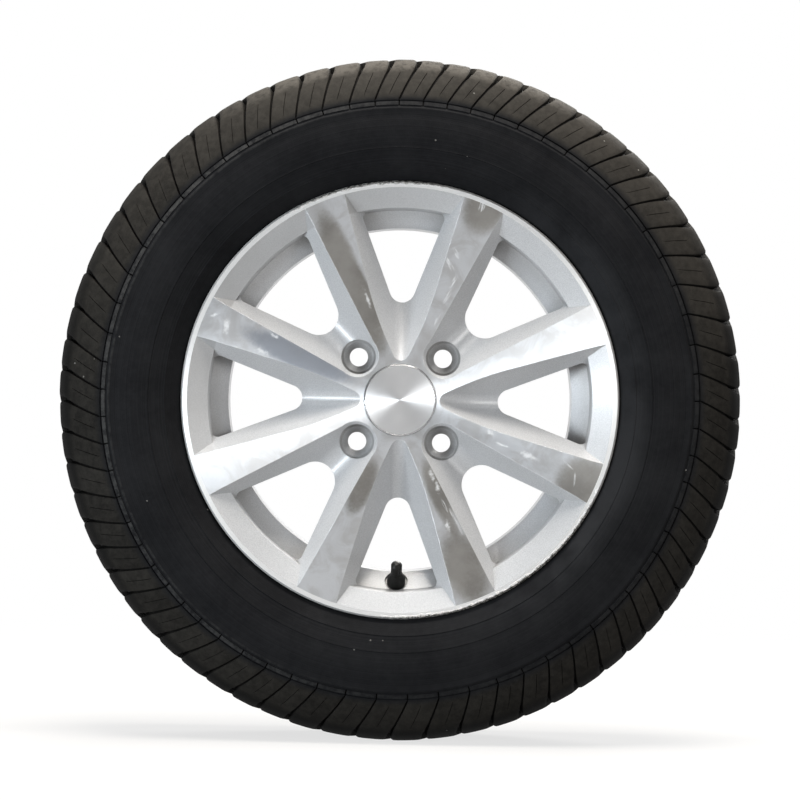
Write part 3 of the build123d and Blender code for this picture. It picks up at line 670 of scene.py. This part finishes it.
cap = new_piece("cap_cup", *welded("centre_cap"), 30)
cap.data.materials.append(plated_plastic())
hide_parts("centre_cap")
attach(cap, "wheel")
cap_disc = new_piece("cap_disc", *welded("centre_cap_face"), 30)
cap_disc.data.materials.append(turned_disc())
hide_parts("centre_cap_face")
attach(cap_disc, "wheel")


# Valve: black rubber moulded round a brass stem, pulled into the rim until its groove snaps over the hole.
# A ribbed plastic cap screws down over the stem.
def black_moulding(name, dark, pale, roughness):
    """Black rubber or plastic with a fine grain and a little dust."""
    moulding = Finish(name)
    dust = moulding.noise(300.0, 4.0)
    grain = moulding.noise(5000.0, 1.0)
    grained = moulding.bump(grain, 0.00002, Normal=rounded_edges(moulding, 0.0005))
    colour = moulding.mix(dust, (dark, dark, dark, 1), (pale, pale, pale * 0.95, 1))
    surface = moulding.surface(
        Base_Color=colour,
        Roughness=roughness + dust * 0.1,
        Specular_IOR_Level=0.15,
        Normal=grained,
    )
    return moulding.done(surface)


valve_rubber = black_moulding("valve_rubber", 0.008, 0.02, 0.45)
dust_cap_plastic = black_moulding("dust_cap_plastic", 0.008, 0.018, 0.32)
for node, name, material, slot, body in (
    ("valve_body", "valve_rubber", valve_rubber, "valve_rubber", "wheel"),
    ("valve_cap", "valve_dust_cap", dust_cap_plastic, "cap_black", "dust_cap"),
):
    piece = new_piece(name, *welded(node), 30)
    piece.data.materials.append(material)
    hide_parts(node)
    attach(piece, body)


# Small parts inside the valve and the cap: a stem, a core and a pin turned from brass, a ring bent from
# spring steel, and black rubber seals. They are screwed, sprung or pressed in, and keep their CAD shapes.
def turned_metal(name, dark, pale, roughness):
    """Plain machined metal, a little uneven."""
    metal = Finish(name)
    cloud = metal.noise(400.0, 3.0)
    colour = metal.mix(cloud, dark, pale)
    return metal.done(metal.surface(Base_Color=colour, Metallic=1.0, Roughness=roughness + cloud * 0.1))


brass = turned_metal("brass", (0.66, 0.47, 0.20, 1), (0.80, 0.60, 0.30, 1), 0.25)
steel = turned_metal("spring_steel", (0.42, 0.42, 0.43, 1), (0.55, 0.55, 0.56, 1), 0.25)
seal_rubber = black_moulding("seal_rubber", 0.01, 0.02, 0.5)
for node, material in (
    ("cap_retaining_ring", steel),
    ("valve_stem", brass),
    ("valve_core_body", brass),
    ("valve_core_seal", seal_rubber),
    ("valve_core_pin", brass),
    ("valve_core_cup", seal_rubber),
    ("valve_cap_seal", seal_rubber),
):
    frame["nodes"][node].data.materials.clear()
    frame["nodes"][node].data.materials.append(material)


# Valve core spring: a coil of spring steel that stands on the floor of the core's barrel.
# The pin's collar shortens the real spring when the pin is pressed; here it keeps its CAD length, and its
# foot and the share it would keep are worked out but not used.
press = next(joint for joint in frame["record"]["behaviour"]["joints"] if joint["name"] == "core_pin_press")
coil_points, coil_faces = welded("valve_core_spring")
press_axis = np.array(press["axis"])
coil_depth = coil_points @ press_axis
coil_middle = coil_points.mean(axis=0)
coil_foot = coil_middle + press_axis * (coil_depth.max() - coil_middle @ press_axis)
coil_keep = 1 - press["range_m"][1] / np.ptp(coil_depth)
coil = new_piece("core_spring", coil_points, coil_faces, 30)
coil.data.materials.append(steel)
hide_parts("valve_core_spring")
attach(coil, "wheel")
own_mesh(coil)


# Studio: a floor and a room that are white as the camera and the metal see them, and a dark curtain round
# the front. A low, wide window of cool light is on the left, a smaller lamp on the right, a warm one above
# and one behind.
floor_half = 12.0
floor_level = -tyre_radius
floor_points = np.array(((-1, -1), (1, -1), (-1, 1), (1, 1))) * floor_half
floor_points = np.column_stack((floor_points, np.full(4, floor_level)))
floor = new_piece("floor", floor_points, grid_faces(2, 2, False), 30)
white = Finish("white_floor")
grain = white.noise(40.0, 2.0)
rays = ("Is Camera Ray", "Is Glossy Ray", "Is Transmission Ray")
seen = sum(white.add("ShaderNodeLightPath", {}, {}, ray) for ray in rays).math("MINIMUM", 1.0)
boards = white.mix(grain, (0.10, 0.10, 0.10, 1), (0.13, 0.13, 0.13, 1))
boards = white.mix(seen, boards, (0.8, 0.8, 0.8, 1))
lit = white.surface(Base_Color=boards, Roughness=0.9, Specular_IOR_Level=0.0)
away = (white.x * white.x + white.y * white.y) ** 0.5
whiteness = seen * (0.72 + away.rise(0.3, 1.6) * 0.28)
white_material = white.done(white.blend(whiteness, lit, white.add("ShaderNodeEmission")))
floor.data.materials.append(white_material)

curtain_radius = 4.2
curtain_height = 3.0
curtain_turn = np.linspace(radians(-100), radians(100), 41)
curtain_line = np.stack((np.sin(curtain_turn), -np.cos(curtain_turn)), axis=1) * curtain_radius
curtain_edges = (np.full(len(curtain_turn), level) for level in (floor_level, curtain_height))
curtain_points = np.stack([np.column_stack((curtain_line, edge)) for edge in curtain_edges])
curtain = new_piece("curtain", curtain_points, grid_faces(*curtain_points.shape[:2], False), 30)
cloth = Finish("dark_curtain")
folds = cloth.noise(3.0, 2.0)
dark_cloth = cloth.mix(folds, (0.03, 0.03, 0.03, 1), (0.05, 0.05, 0.05, 1))
curtain.data.materials.append(cloth.done(cloth.surface(Base_Color=dark_cloth, Roughness=0.9)))
curtain.visible_camera = False


def softbox(name, place, aim, size, power, colour):
    """A rectangular lamp at a place, turned to face a point, and not seen by the camera itself."""
    lamp = bpy.data.lights.new(name, "AREA")
    lamp.shape = "RECTANGLE"
    lamp.size, lamp.size_y = size
    lamp.energy = power
    lamp.color = colour
    holder = bpy.data.objects.new(name, lamp)
    holder.location = place
    holder.rotation_euler = (Vector(aim) - Vector(place)).to_track_quat("-Z", "Y").to_euler()
    holder.visible_camera = False
    bpy.context.scene.collection.objects.link(holder)


softbox("window", (-1.65, -1.45, -0.14), (0, 0, 0), (1.5, 0.26), 31.0, (0.88, 0.95, 1.0))
softbox("door", (1.35, -1.7, 0.35), (0, 0, 0), (0.6, 0.9), 12.0, (1.0, 0.98, 0.95))
softbox("overhead", (0.1, -0.3, 2.4), (0, 0, 0), (1.6, 1.6), 105.0, (1.0, 0.95, 0.88))
softbox("back", (0.7, 2.2, 1.5), (0, 0, 0), (1.6, 1.0), 50.0, (1.0, 0.98, 0.95))

room = bpy.data.worlds.new("room")
bpy.context.scene.world = room
room.use_nodes = True
room_nodes = room.node_tree.nodes
room_links = room.node_tree.links
background = room_nodes["Background"]
path = room_nodes.new("ShaderNodeLightPath")
tint = room_nodes.new("ShaderNodeMix")
tint.data_type = "RGBA"
tint.inputs[6].default_value = (0.11, 0.108, 0.104, 1)
tint.inputs[7].default_value = (1, 1, 1, 1)
shown = path.outputs["Is Camera Ray"]
for ray in rays[1:]:
    either = room_nodes.new("ShaderNodeMath")
    either.operation = "MAXIMUM"
    room_links.new(shown, either.inputs[0])
    room_links.new(path.outputs[ray], either.inputs[1])
    shown = either.outputs[0]
room_links.new(shown, tint.inputs[0])
room_links.new(tint.outputs[2], background.inputs["Color"])

# Camera: a long lens on the axle line, level with the hub. The wheel stood turned a little clockwise.
camera_distance = 3.2
camera_turn = radians(1.2)
lens = bpy.data.cameras.new("camera")
lens.lens = 173.1
lens.sensor_width = 36.0
camera = bpy.data.objects.new("camera", lens)
camera.location = (0, -lip_face - camera_distance, 0)
camera.rotation_euler = (pi / 2, -camera_turn, 0)
bpy.context.scene.collection.objects.link(camera)
bpy.context.scene.camera = camera
bpy.context.scene.view_settings.view_transform = "Standard"
